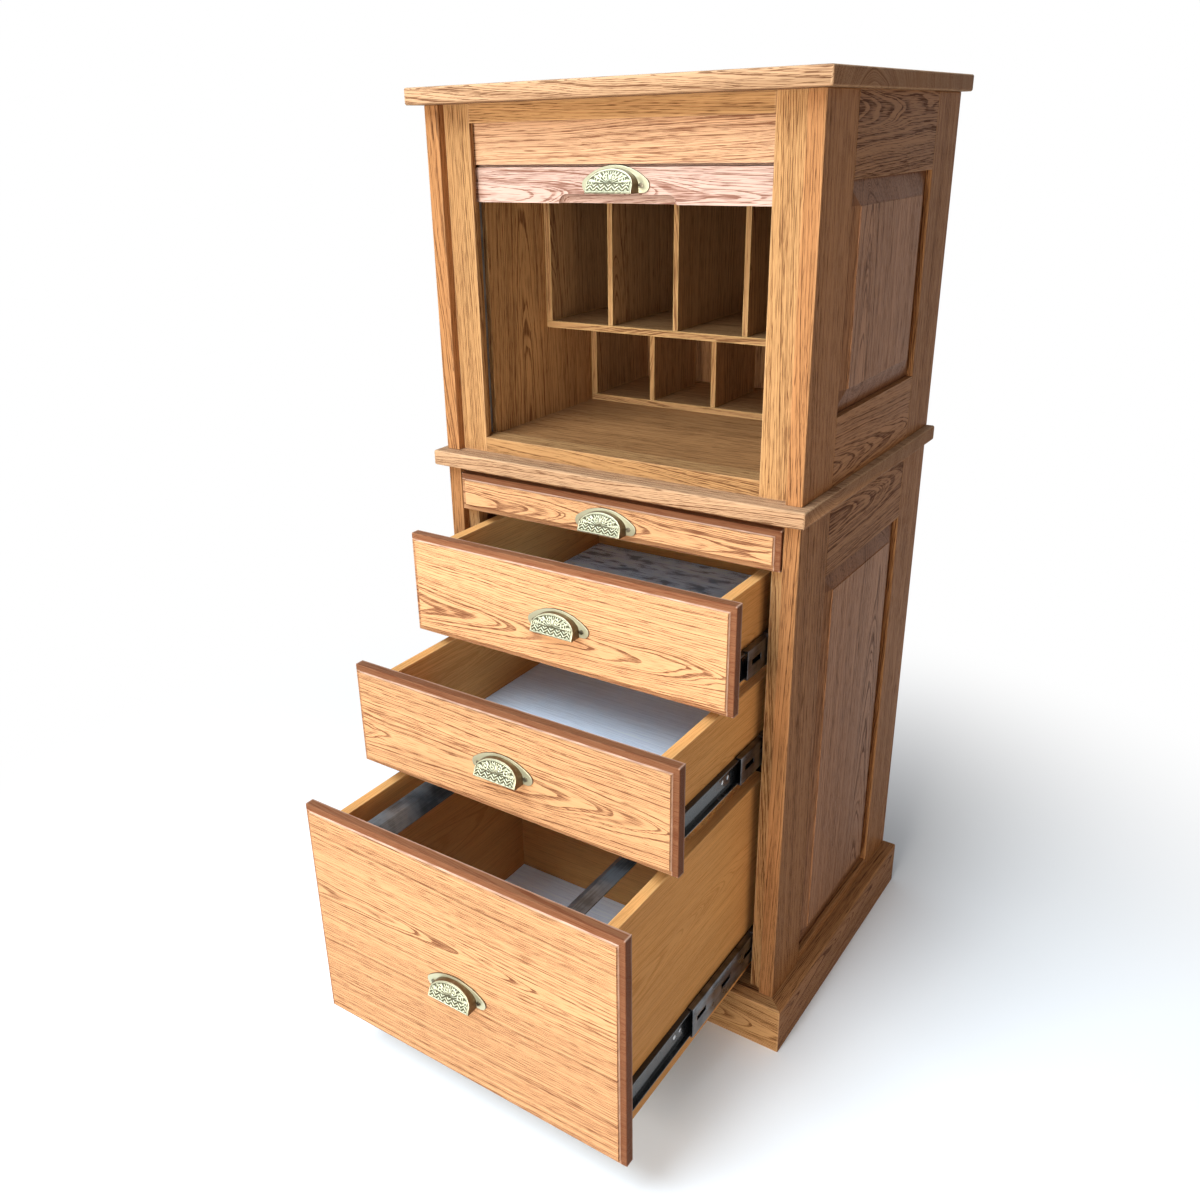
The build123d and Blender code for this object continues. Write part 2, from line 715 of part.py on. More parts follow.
def make_drawer_slides(name, out, middle_lag, middle_z, height):
    """The pair of drawer members and the pair of middle members of one drawer."""
    middle_height = height - 2 * slide_flange - 2 * slide_run_gap
    inner_height = middle_height - 2 * slide_flange - 2 * slide_run_gap
    closed_y = face_y + slide_front_gap
    with BuildPart() as members:
        channel(box_half, base_stile_x - 2 * slide_nest - slide_web, closed_y - out, middle_z, inner_height)
        mirror(about=Plane.YZ)
    members.part.label = f"{name}_slide_members"
    export_step(members.part, f"parts/{name}_slide_members.step")

    with BuildPart() as middles:
        channel(base_stile_x - slide_nest, base_stile_x - slide_reach - slide_run_gap,
                closed_y - out / 2 + middle_lag, middle_z, middle_height, long=middle_length, slots=True)
        mirror(about=Plane.YZ)
    middles.part.label = f"{name}_middle_members"
    export_step(middles.part, f"parts/{name}_middle_members.step")


def make_drawer(name, bottom_z, height, out, top_drop, slide_z, member_height, lag=0.0, pull_drop=0.0):
    """One slide-hung drawer: front, box, bottom, slide members and pull."""
    low = bottom_z + box_rise
    middle_z = low + slide_z
    ear_z = bottom_z + height / 2 - (pull_top - pull_bottom) / 2 - pull_drop
    make_front(name, bottom_z, height, out, ear_z)
    make_box(name, out, box_half, box_side, low, bottom_z + height - top_drop, box_rear_gap, bottom_rise)
    make_drawer_slides(name, out, lag, middle_z, member_height)
    make_pull(f"{name}_pull", face_y - front_thickness - out, ear_z)
    return middle_z, member_height


slide_places = [
    make_drawer("drawer_1", drawer_1_bottom, drawer_1_height, drawer_1_out, box_top_drop,
                slide_rise, slide_height),
    make_drawer("drawer_2", drawer_2_bottom, drawer_2_height, drawer_2_out, box_top_drop,
                slide_rise, slide_height, lag=drawer_2_middle_lag),
    make_drawer("drawer_3", drawer_3_bottom, drawer_3_height, drawer_3_out, file_box_top_drop,
                file_slide_rise, file_slide_height, pull_drop=drawer_3_pull_drop),
]

# Cabinet members of the slides, and the cleats that carry them level with the face frame.
with BuildPart() as slide_cabinet_members:
    for middle_z, member_height in slide_places:
        channel(base_stile_x, base_stile_x - slide_reach, face_y + slide_front_gap, middle_z, member_height)
    mirror(about=Plane.YZ)
slide_cabinet_members.part.label = "slide_cabinet_members"
export_step(slide_cabinet_members.part, "parts/slide_cabinet_members.step")

with BuildPart() as slide_cleats:
    for middle_z, member_height in slide_places:
        half_height = member_height / 2 + cleat_margin
        board((base_stile_x, inner_x), (base_frame_back, -cleat_rear_gap),
              (middle_z - half_height, middle_z + half_height))
    mirror(about=Plane.YZ)
slide_cleats.part.label = "slide_cleats"
export_step(slide_cleats.part, "parts/slide_cleats.step")

# Bent steel rails in the bottom drawer, from which letter-size files hang.
hanger_top = drawer_3_bottom + drawer_3_height - file_box_top_drop - hanger_drop
with BuildPart() as file_hanging_rails:
    with BuildSketch(Plane.XZ.offset(drawer_3_out - face_y - box_side)):
        with BuildLine():
            rail_line = Polyline((hanger_outer, hanger_top), (hanger_edge, hanger_top),
                                 (hanger_inner, hanger_top - hanger_slope))
            offset(rail_line, amount=-hanger_steel, side=Side.RIGHT)
        make_face()
    extrude(amount=face_y + 2 * box_side + box_rear_gap)
    mirror(about=Plane.YZ)
file_hanging_rails.part.label = "file_hanging_rails"
export_step(file_hanging_rails.part, "parts/file_hanging_rails.step")

# Pencil drawer: a shallow box that slides on wooden runners.
pencil_ear_z = pencil_bottom_z + pencil_height / 2 - (pull_top - pull_bottom) / 2
pencil_low = divider_rail_z + divider_rail_thickness + pencil_box_gap
pencil_half = base_stile_x - pencil_guide
make_front("pencil", pencil_bottom_z, pencil_height, 0, pencil_ear_z)
make_box("pencil", 0, pencil_half, pencil_side, pencil_low, top_rail_z - pencil_box_gap,
         pencil_rear_gap, pencil_bottom_rise)
make_pull("pencil_pull", face_y - front_thickness, pencil_ear_z)

with BuildPart() as pencil_runners:
    runner_y = (base_frame_back, back_y)
    board((inner_x - pencil_runner_width - base_stile_width, inner_x), runner_y,
          (divider_rail_z, pencil_low - pencil_run_gap))
    board((pencil_half + pencil_run_gap, inner_x), runner_y,
          (divider_rail_z, top_rail_z))
    mirror(about=Plane.YZ)
pencil_runners.part.label = "pencil_runners"
export_step(pencil_runners.part, "parts/pencil_runners.step")

make_pull("lift_rail_pull", lift_front_y, lift_ear_z)
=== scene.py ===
import json
import math
import random

import bmesh
import bpy
import numpy as np
from mathutils import Matrix, Vector


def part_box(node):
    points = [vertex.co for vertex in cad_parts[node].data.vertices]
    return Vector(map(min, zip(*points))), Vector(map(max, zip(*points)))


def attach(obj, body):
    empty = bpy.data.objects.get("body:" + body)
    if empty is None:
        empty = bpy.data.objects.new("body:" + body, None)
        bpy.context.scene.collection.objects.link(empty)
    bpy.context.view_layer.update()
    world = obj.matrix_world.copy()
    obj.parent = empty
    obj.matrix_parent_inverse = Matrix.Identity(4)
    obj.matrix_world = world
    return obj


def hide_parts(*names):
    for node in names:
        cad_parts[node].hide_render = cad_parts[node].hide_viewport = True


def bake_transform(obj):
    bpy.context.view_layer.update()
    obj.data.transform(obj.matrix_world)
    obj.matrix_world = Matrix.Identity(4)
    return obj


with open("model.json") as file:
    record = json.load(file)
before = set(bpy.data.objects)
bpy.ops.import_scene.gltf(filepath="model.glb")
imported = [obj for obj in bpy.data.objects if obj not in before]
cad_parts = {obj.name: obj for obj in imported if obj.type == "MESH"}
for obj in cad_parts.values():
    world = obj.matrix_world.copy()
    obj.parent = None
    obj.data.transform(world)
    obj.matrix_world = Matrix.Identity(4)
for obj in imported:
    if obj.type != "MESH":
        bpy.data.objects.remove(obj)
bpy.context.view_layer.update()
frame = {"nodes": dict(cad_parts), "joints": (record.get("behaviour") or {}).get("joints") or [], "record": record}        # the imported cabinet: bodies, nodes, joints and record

# Base case sides.
# Each side is a frame of two stiles and two tenoned rails round a raised panel.
# Solid red oak, stained a golden brown and finished with a satin lacquer; edges are eased by hand.

NODE_BODY = {node: body for body, nodes in frame["record"]["behaviour"]["bodies"].items() for node in nodes}
AXES = {"x": 0, "y": 1, "z": 2}
JOINT_EASE = 0.0007
STILE_EASE = 0.0015
SHARP_ANGLE = math.radians(13)
FLAT_ANGLE = math.radians(0.4)
WELD_DISTANCE = 1e-6


def shader_node(tree, kind, links=None, **settings):
    """One node, with its settings, and its inputs linked to sockets or set to plain values."""
    made = tree.nodes.new(kind)
    for key, value in settings.items():
        setattr(made, key, value)
    for socket, value in (links or {}).items():
        if isinstance(value, bpy.types.NodeSocket):
            tree.links.new(value, made.inputs[socket])
        else:
            made.inputs[socket].default_value = value
    return made


def maths(tree, operation, first, second=0.0, third=0.0, clamp=False):
    """The output of one math node."""
    links = {0: first, 1: second, 2: third}
    return shader_node(tree, "ShaderNodeMath", links, operation=operation, use_clamp=clamp).outputs[0]


def vector_maths(tree, operation, first, second=(0, 0, 0)):
    """The vector output of one vector math node."""
    return shader_node(tree, "ShaderNodeVectorMath", {0: first, 1: second}, operation=operation).outputs[0]


def ramp(tree, value, low, high, out_low=0.0, out_high=1.0):
    """A smooth step from one level to another."""
    links = {"Value": value, "From Min": low, "From Max": high, "To Min": out_low, "To Max": out_high}
    made = shader_node(tree, "ShaderNodeMapRange", links, interpolation_type="SMOOTHSTEP")
    return made.outputs["Result"]


def noise(tree, vector, detail):
    """Noise between 0 and 1, about 0.5 in the middle."""
    links = {"Vector": vector, "Scale": 1.0, "Detail": detail}
    return shader_node(tree, "ShaderNodeTexNoise", links).outputs[0]


def mix_colour(tree, share, first, second):
    """A colour between two colours."""
    made = shader_node(tree, "ShaderNodeMix", data_type="RGBA")
    for socket, value in ((0, share), (6, first), (7, second)):
        if isinstance(value, bpy.types.NodeSocket):
            tree.links.new(value, made.inputs[socket])
        else:
            made.inputs[socket].default_value = value if socket == 0 else (*value[:3], 1.0)
    return made.outputs[2]


def new_group(name, inputs, outputs):
    """An empty shader node group with float inputs, given with their defaults, and float outputs."""
    group = bpy.data.node_groups.new(name, "ShaderNodeTree")
    for label, value in inputs.items():
        socket = group.interface.new_socket(label, in_out="INPUT", socket_type="NodeSocketFloat")
        socket.default_value = value
    for label in outputs:
        group.interface.new_socket(label, in_out="OUTPUT", socket_type="NodeSocketFloat")
    return group, group.nodes.new("NodeGroupInput"), group.nodes.new("NodeGroupOutput")


# How many of each feature of the wood there are to a metre, along, across and through a board.
LONG_WAVES = (2.4, 11.0, 11.0)
SMALL_WAVES = (14.0, 60.0, 60.0)
FIBRES = (7.0, 380.0, 380.0)
CLOUDS = (2.0, 9.0, 9.0)
PORE_PATCHES = (3.0, 26.0, 26.0)
SCUFFS = (40.0, 40.0, 40.0)
PORES_ALONG = 32.0

# How far a small wave bends a ring, and how wide the soft edge of a darkened end or rim is, in metres.
SMALL_WAVE_SIZE = 0.0011
MASK_SOFT_EDGE = 0.0008


def oak_grain_group():
    """Growth rings, pores, fibre, scuffed edges with painted highlights, and darker ends and rim of a board,
    from its own length, width and thickness.
    """
    tree, given, result = new_group(
        "oak_grain",
        {"Ring Width": 0.0031, "Wander": 0.016, "Taper": 0.03, "Pore Width": 0.0008, "Wear Width": 0.003,
         "Rim Width": 0.0, "End Reach": 0.001},
        ("Early", "Pores", "Fibre", "Cloud", "Wear And Highlight", "Tone", "End", "Rim"))
    board = shader_node(tree, "ShaderNodeAttribute", attribute_name="board").outputs["Vector"]
    half = shader_node(tree, "ShaderNodeAttribute", attribute_name="board_half").outputs["Vector"]
    shift = shader_node(tree, "ShaderNodeAttribute", attribute_name="board_shift").outputs["Vector"]
    tone = shader_node(tree, "ShaderNodeAttribute", attribute_name="board_tone").outputs["Fac"]
    wood = vector_maths(tree, "ADD", board, shift)
    parts = shader_node(tree, "ShaderNodeSeparateXYZ", {0: wood}).outputs
    along, across, deep = parts[0], parts[1], parts[2]

    long_wave = noise(tree, vector_maths(tree, "MULTIPLY", wood, LONG_WAVES), detail=2.5)
    small_wave = noise(tree, vector_maths(tree, "MULTIPLY", wood, SMALL_WAVES), detail=1.0)
    pith = maths(tree, "SQRT", maths(tree, "ADD", maths(tree, "MULTIPLY", across, across),
                                     maths(tree, "MULTIPLY", deep, deep)))
    radius = maths(tree, "MULTIPLY_ADD", along, given.outputs["Taper"], pith)
    radius = maths(tree, "MULTIPLY_ADD", maths(tree, "SUBTRACT", long_wave, 0.5),
                   given.outputs["Wander"], radius)
    radius = maths(tree, "MULTIPLY_ADD", maths(tree, "SUBTRACT", small_wave, 0.5), SMALL_WAVE_SIZE, radius)
    years = maths(tree, "DIVIDE", radius, given.outputs["Ring Width"])
    season = shader_node(tree, "ShaderNodeTexNoise",
                         {"W": maths(tree, "MULTIPLY", radius, 90.0), "Detail": 1.0},
                         noise_dimensions="1D").outputs[0]
    years = maths(tree, "MULTIPLY_ADD", season, 4.0, years)
    phase = maths(tree, "FRACT", years)
    early = maths(tree, "MULTIPLY", ramp(tree, phase, 0.0, 0.1), ramp(tree, phase, 0.2, 0.6, 1.0, 0.0))

    pore_scale = maths(tree, "DIVIDE", 1.0, given.outputs["Pore Width"])
    pore_links = {0: PORES_ALONG, 1: pore_scale, 2: pore_scale}
    pore_size = shader_node(tree, "ShaderNodeCombineXYZ", pore_links).outputs[0]
    pore_noise = noise(tree, vector_maths(tree, "MULTIPLY", wood, pore_size), detail=1.0)
    fibre = noise(tree, vector_maths(tree, "MULTIPLY", wood, FIBRES), detail=2.0)
    cloud = noise(tree, vector_maths(tree, "MULTIPLY", wood, CLOUDS), detail=3.0)
    patch = noise(tree, vector_maths(tree, "MULTIPLY", wood, PORE_PATCHES), detail=2.0)
    crowd = maths(tree, "MULTIPLY_ADD", early, 0.2, pore_noise)
    crowd = maths(tree, "MULTIPLY_ADD", maths(tree, "SUBTRACT", patch, 0.5), 0.22, crowd)
    pores = ramp(tree, crowd, 0.6, 0.7)

    # Scuffing with painted highlights on the arrises, and end-grain staining, follow the distance to the
    # nearest edge or end of the board; a long end reach also paints shade over a board's ends.
    gap = vector_maths(tree, "SUBTRACT", half, vector_maths(tree, "ABSOLUTE", board))
    sides = shader_node(tree, "ShaderNodeSeparateXYZ", {0: gap}).outputs
    low = maths(tree, "MINIMUM", sides[0], sides[1])
    high = maths(tree, "MAXIMUM", sides[0], sides[1])
    to_edge = maths(tree, "MAXIMUM", low, maths(tree, "MINIMUM", high, sides[2]))
    scuffs = noise(tree, vector_maths(tree, "MULTIPLY", board, SCUFFS), detail=3.0)
    reach = maths(tree, "MULTIPLY_ADD", scuffs, 1.6, 0.2)
    reach = maths(tree, "MULTIPLY", given.outputs["Wear Width"], reach)
    wear_and_highlight = ramp(tree, maths(tree, "DIVIDE", to_edge, reach), 0.0, 1.0, 1.0, 0.0)
    end_start = maths(tree, "SUBTRACT", given.outputs["End Reach"], MASK_SOFT_EDGE)
    end = ramp(tree, sides[0], end_start, given.outputs["End Reach"], 1.0, 0.0)
    rim_start = maths(tree, "SUBTRACT", given.outputs["Rim Width"], MASK_SOFT_EDGE)
    rim = ramp(tree, low, rim_start, given.outputs["Rim Width"], 0.5, 0.0)
    # Along a front's top edge and right end the rim is painted darker as shade, and a pale line along the
    # arris there is a painted highlight.
    ahead = vector_maths(tree, "SUBTRACT", half, board)
    ahead = shader_node(tree, "ShaderNodeSeparateXYZ", {0: ahead}).outputs
    shaded_top_right = maths(tree, "MINIMUM", ahead[0], ahead[1])
    painted_light = maths(tree, "ABSOLUTE", maths(tree, "SUBTRACT", shaded_top_right, rim_start))
    painted_light = ramp(tree, painted_light, 0.0003, 0.0009, 2.2, 0.0)
    wear_and_highlight = maths(tree, "MAXIMUM", wear_and_highlight, maths(tree, "MULTIPLY", painted_light, scuffs))
    shaded_top_right = ramp(tree, shaded_top_right, rim_start, given.outputs["Rim Width"], 0.5, 0.0)
    rim = maths(tree, "ADD", rim, shaded_top_right)
    for label, value in (("Early", early), ("Pores", pores), ("Fibre", fibre), ("Cloud", cloud),
                         ("Wear And Highlight", wear_and_highlight), ("Tone", tone), ("End", end), ("Rim", rim)):
        tree.links.new(value, result.inputs[label])
    return tree


OAK_GRAIN = oak_grain_group()
LACQUER_ROUGHNESS = 0.16
WOOD_SPECULAR = 0.03
BUMP_DISTANCE = 0.0003


def oak(name, light, dark, pore, wear_and_highlight_colour, roughness=0.42, coat=0.02, pore_depth=0.35, cloud=0.16, **grain):
    """Stained and lacquered oak; the colours are the late wood, early wood, pores, and scuffed edges with
    painted highlights.
    A moulded rim, where the board has one, is stained darker, and painted darker still along its top and
    right as shade."""
    material = bpy.data.materials.new(name)
    material.use_nodes = True
    tree = material.node_tree
    surface = tree.nodes["Principled BSDF"]
    figure = shader_node(tree, "ShaderNodeGroup", node_tree=OAK_GRAIN)
    for label, value in grain.items():
        figure.inputs[label.replace("_", " ").title()].default_value = value
    early, pores, fibre, clouds, wear_and_highlight, tone, end, rim = figure.outputs
    colour = light
    # The rim along the top and right, and a board's ends where the end reach is long, carry painted shade
    # besides staining.
    stains_and_shade = ((early, 0.42, dark), (end, 0.55, dark), (rim, 0.85, dark), (pores, 0.85, pore))
    for mask, strength, deep_colour in stains_and_shade:
        colour = mix_colour(tree, maths(tree, "MULTIPLY", mask, strength), colour, deep_colour)
    value = maths(tree, "MULTIPLY_ADD", maths(tree, "SUBTRACT", clouds, 0.5), 2 * cloud, 1.0)
    value = maths(tree, "MULTIPLY_ADD", maths(tree, "SUBTRACT", fibre, 0.5), 0.34, value)
    value = maths(tree, "MULTIPLY_ADD", tone, 0.09, value)
    # The pale edge colour is partly scuffing and partly painted highlight on the arrises.
    colour = mix_colour(tree, maths(tree, "MULTIPLY", wear_and_highlight, 0.32), colour, wear_and_highlight_colour)
    bright = shader_node(tree, "ShaderNodeHueSaturation", {"Color": colour, "Value": value}).outputs[0]
    tree.links.new(bright, surface.inputs["Base Color"])
    rough = maths(tree, "MULTIPLY_ADD", pores, 0.25, roughness)
    rough = maths(tree, "MULTIPLY_ADD", maths(tree, "SUBTRACT", clouds, 0.5), 0.12, rough)
    tree.links.new(rough, surface.inputs["Roughness"])
    lacquer = maths(tree, "MULTIPLY_ADD", pores, -0.5 * coat, coat, clamp=True)
    tree.links.new(lacquer, surface.inputs["Coat Weight"])
    surface.inputs["Coat Roughness"].default_value = LACQUER_ROUGHNESS
    surface.inputs["Specular IOR Level"].default_value = WOOD_SPECULAR
    height = maths(tree, "MULTIPLY_ADD", early, -0.3, maths(tree, "MULTIPLY", pores, -1.0))
    bump = shader_node(tree, "ShaderNodeBump",
                       {"Height": height, "Strength": pore_depth, "Distance": BUMP_DISTANCE})
    tree.links.new(bump.outputs[0], surface.inputs["Normal"])
    return material


def islands(mesh):
    """The vertex numbers of each separate solid in a mesh."""
    edges = np.zeros(len(mesh.edges) * 2, np.int64)
    mesh.edges.foreach_get("vertices", edges)
    label = np.arange(len(mesh.vertices))
    pairs = edges.reshape(-1, 2)
    while True:
        low = np.minimum(label[pairs[:, 0]], label[pairs[:, 1]])
        before = label.copy()
        np.minimum.at(label, pairs[:, 0], low)
        np.minimum.at(label, pairs[:, 1], low)
        label = label[label]
        if np.array_equal(before, label):
            break
    return [np.nonzero(label == number)[0] for number in np.unique(label)]


def mark_boards(mesh, name, grain=None, cut="flat"):
    """Store each board's own coordinates, half size, place in the log and tone on its vertices.
    The heart of the tree lies close behind a flat cut board, and off to one side of a rift cut one."""
    count = len(mesh.vertices)
    places = np.zeros(count * 3)
    mesh.vertices.foreach_get("co", places)
    places = places.reshape(-1, 3)
    board, half, shift = np.zeros((count, 3)), np.zeros((count, 3)), np.zeros((count, 3))
    tone = np.zeros(count)
    for number, members in enumerate(islands(mesh)):
        chance = random.Random(f"{name} {number}")
        low, high = places[members].min(0), places[members].max(0)
        size = high - low
        if grain == "upright":
            length = 2 if np.argmin(size) == 0 else 0
        else:
            length = AXES[grain] if grain else int(np.argmax(size))
        rest = [axis for axis in range(3) if axis != length]
        width, depth = sorted(rest, key=lambda axis: -size[axis])
        order = [length, width, depth]
        board[members] = (places[members] - (low + high) / 2)[:, order]
        half[members] = (size / 2)[order]
        if cut == "flat":
            pith = (chance.uniform(-0.3, 0.3) * size[width],
                    chance.choice((-1, 1)) * chance.uniform(0.035, 0.08))
        else:
            pith = (chance.choice((-1, 1)) * chance.uniform(0.1, 0.16),
                    chance.choice((-1, 1)) * chance.uniform(0.05, 0.09))
        shift[members] = (chance.uniform(-4, 4), pith[0], pith[1])
        tone[members] = chance.uniform(-1, 1)
    for label, values in (("board", board), ("board_half", half), ("board_shift", shift)):
        attribute = mesh.attributes.new(label, "FLOAT_VECTOR", "POINT")
        attribute.data.foreach_set("vector", values.astype(np.float32).ravel())
    mesh.attributes.new("board_tone", "FLOAT", "POINT").data.foreach_set("value", tone.astype(np.float32))


def eased(node, ease=JOINT_EASE, corner=SHARP_ANGLE):
    """A copy of a node's mesh whose sharp edges are really rounded, as sanding leaves them."""
    mesh = frame["nodes"][node].data.copy()
    work = bmesh.new()
    work.from_mesh(mesh)
    bmesh.ops.remove_doubles(work, verts=work.verts, dist=WELD_DISTANCE)
    bmesh.ops.dissolve_limit(work, angle_limit=FLAT_ANGLE, verts=work.verts, edges=work.edges)
    sharp = [edge for edge in work.edges if edge.is_manifold and edge.calc_face_angle(0) > corner]
    bmesh.ops.bevel(work, geom=sharp, offset=ease, segments=2, profile=0.6, affect="EDGES",
                    clamp_overlap=True)
    work.to_mesh(mesh)
    work.free()
    mesh.shade_smooth()
    mesh.set_sharp_from_angle(angle=corner)
    return mesh


def place(name, mesh, body, material, second=None):
    """Put a finished mesh in the scene on its body."""
    piece = bpy.data.objects.new(name, mesh)
    bpy.context.scene.collection.objects.link(piece)
    mesh.materials.clear()
    mesh.materials.append(material)
    if second:
        mesh.materials.append(second)
    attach(piece, body)
    return piece


def wooden(node, material, grain=None, cut="flat", ease=JOINT_EASE):
    """A wooden piece that stands for its node: the same boards with eased edges and their own grain."""
    mesh = eased(node, ease)
    mark_boards(mesh, node, grain, cut)
    piece = place(f"{node}_wood", mesh, NODE_BODY[node], material)
    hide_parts(node)


# The sides' oak is painted darker than the fronts' as shade on faces turned away from the lamps; it also
# stands for the crown's shadow on the top rails.
side_oak_painted_shade = oak("side_oak_painted_shade", (0.38, 0.172, 0.066), (0.15, 0.052, 0.016), (0.07, 0.023, 0.009),
               (0.5, 0.26, 0.11))
# The side panels are painted darker as shade too, and their long end reach paints shade over the bevels at
# the panel's top and bottom besides end-grain staining.
panel_oak_painted_shade = oak("panel_oak_painted_shade", (0.43, 0.2, 0.092), (0.18, 0.07, 0.03), (0.085, 0.03, 0.012), (0.45, 0.25, 0.11),
                roughness=0.3, coat=0.04, end_reach=0.037)
wooden("base_side_stiles", side_oak_painted_shade, cut="rift", ease=STILE_EASE)
wooden("base_side_rails", side_oak_painted_shade, grain="y")
wooden("base_side_panels", panel_oak_painted_shade, grain="z")

# Base face frame, bottom board and back.
# Narrow stiles and rails glued to the front edges of the sides; the back is thin panel stock.
frame_oak = oak("frame_oak", (0.44, 0.235, 0.095), (0.2, 0.075, 0.026), (0.1, 0.034, 0.012),
                (0.6, 0.35, 0.17))
inner_oak = oak("inner_oak", (0.27, 0.13, 0.055), (0.17, 0.075, 0.028), (0.08, 0.03, 0.013),
                (0.34, 0.18, 0.08), roughness=0.6, coat=0.0)
wooden("base_face_stiles", frame_oak, cut="rift")
wooden("base_face_rails", frame_oak, grain="x", cut="rift")
wooden("base_bottom", inner_oak, grain="x")
wooden("base_back", inner_oak, grain="z")
wooden("slide_cleats", inner_oak, grain="y")
wooden("pencil_runners", inner_oak, grain="y")

# Plinth.
# Three boards wrapped round the foot of the case and mitred at the front corners, top edge eased.
wooden("plinth_front", frame_oak, grain="x")
wooden("plinth_sides", side_oak_painted_shade, grain="y")

# Drawers.
# Solid oak fronts with a coved edge, screwed to boxes of honey-coloured boards with a thin panel bottom.
# The fronts' pale edge colour is partly scuffing and partly painted highlight, and their rim is painted
# darker along the top and right as shade.
front_oak = oak("front_oak", (0.64, 0.345, 0.165), (0.14, 0.046, 0.022), (0.15, 0.048, 0.021),
                (0.95, 0.66, 0.5), wander=0.015, taper=0.022, ring_width=0.0027, rim_width=0.0095)
box_wood = oak("box_wood", (0.7, 0.35, 0.12), (0.6, 0.28, 0.09), (0.56, 0.26, 0.08), (0.8, 0.5, 0.22),
               roughness=0.45, coat=0.02, pore_depth=0.05, cloud=0.14)
# The blue cast of the drawer bottoms is painted cool skylight.
bottom_board = oak("bottom_board", (0.86, 0.92, 1.0), (0.82, 0.88, 0.96), (0.74, 0.79, 0.87),
                   (0.78, 0.83, 0.92), roughness=0.5, coat=0.0, pore_depth=0.02, cloud=0.12)
smudged_board_painted_skylight = oak("smudged_board_painted_skylight", (0.82, 0.92, 1.0), (0.55, 0.64, 0.74), (0.22, 0.27, 0.34),
                    (0.8, 0.82, 0.9), roughness=0.5, coat=0.0, pore_depth=0.02, cloud=0.2,
                    ring_width=0.04, pore_width=0.014)
FRONT_EASE = 0.0006
for name in ("drawer_1", "drawer_2", "drawer_3", "pencil"):
    wooden(f"{name}_front", front_oak, grain="x", ease=FRONT_EASE)
    wooden(f"{name}_box", box_wood)
    wooden(f"{name}_bottom", smudged_board_painted_skylight if name == "drawer_1" else bottom_board, grain="x")

# Top slab of the base.
# One glued-up board whose eased edge stands out past the sides and the front.
top_oak = oak("top_oak", (0.52, 0.31, 0.17), (0.24, 0.1, 0.045), (0.12, 0.046, 0.02), (0.66, 0.42, 0.24),
              roughness=0.5, coat=0.0)
wooden("base_top", top_oak, grain="x", cut="rift")

# Upper case sides, face frame, fascia, sill, desk floor and back.
# The same framed construction as the base, with the desk floor let in behind the sill.
liner_oak = oak("liner_oak", (0.47, 0.25, 0.1), (0.24, 0.1, 0.034), (0.12, 0.046, 0.016), (0.55, 0.32, 0.14))
wooden("upper_side_stiles", side_oak_painted_shade, cut="rift", ease=STILE_EASE)
wooden("upper_side_rails", side_oak_painted_shade, grain="y")
wooden("upper_side_panels", panel_oak_painted_shade, grain="z")
wooden("upper_face_stiles", frame_oak, cut="rift")
wooden("upper_face_rail", frame_oak, grain="x", cut="rift")
fascia_oak = oak("fascia_oak", (0.62, 0.36, 0.2), (0.3, 0.12, 0.055), (0.18, 0.065, 0.03), (0.74, 0.48, 0.3))
wooden("fascia_board", fascia_oak, grain="x", cut="rift")
wooden("sill_rail", frame_oak, grain="x", cut="rift")
desk_oak = oak("desk_oak", (0.34, 0.166, 0.064), (0.18, 0.07, 0.023), (0.09, 0.033, 0.012),
               (0.45, 0.26, 0.11), roughness=0.3, coat=0.09)
wooden("desk_floor", desk_oak, grain="x")
wooden("upper_back", inner_oak, grain="z")
wooden("track_liners", liner_oak, grain="z", cut="rift")
wooden("liner_cleats", inner_oak, grain="y")

# Pigeonholes.
# Thin boards housed into each other, front edges eased; they slide in from behind as two inserts.
shelf_oak = oak("shelf_oak", (0.43, 0.235, 0.1), (0.23, 0.1, 0.04), (0.12, 0.046, 0.017),
                (0.68, 0.45, 0.18))
for name in ("lower", "upper"):
    wooden(f"{name}_shelf_case", shelf_oak, grain="upright", cut="rift")
    wooden(f"{name}_dividers", shelf_oak, grain="z", cut="rift")

# Crown board.
# The same eased board as the slab, on top of the upper case.
wooden("crown_top", top_oak, grain="x", cut="rift")

# Tambour.
# Oak slats glued to a canvas; the lift rail at its lower end carries a pull and a finger scoop.
tambour_oak = oak("tambour_oak", (0.58, 0.39, 0.31), (0.37, 0.18, 0.12), (0.2, 0.08, 0.05), (0.7, 0.5, 0.4))
slat_oak = oak("slat_oak", (0.56, 0.36, 0.27), (0.4, 0.2, 0.13), (0.22, 0.09, 0.055), (0.68, 0.48, 0.38),
               wander=0.002, taper=0.004, cloud=0.06)
wooden("lift_rail", tambour_oak, grain="x")
SLAT_EASE = 0.0012
wooden("tambour_slats_stored", slat_oak, grain="x", cut="rift", ease=SLAT_EASE)

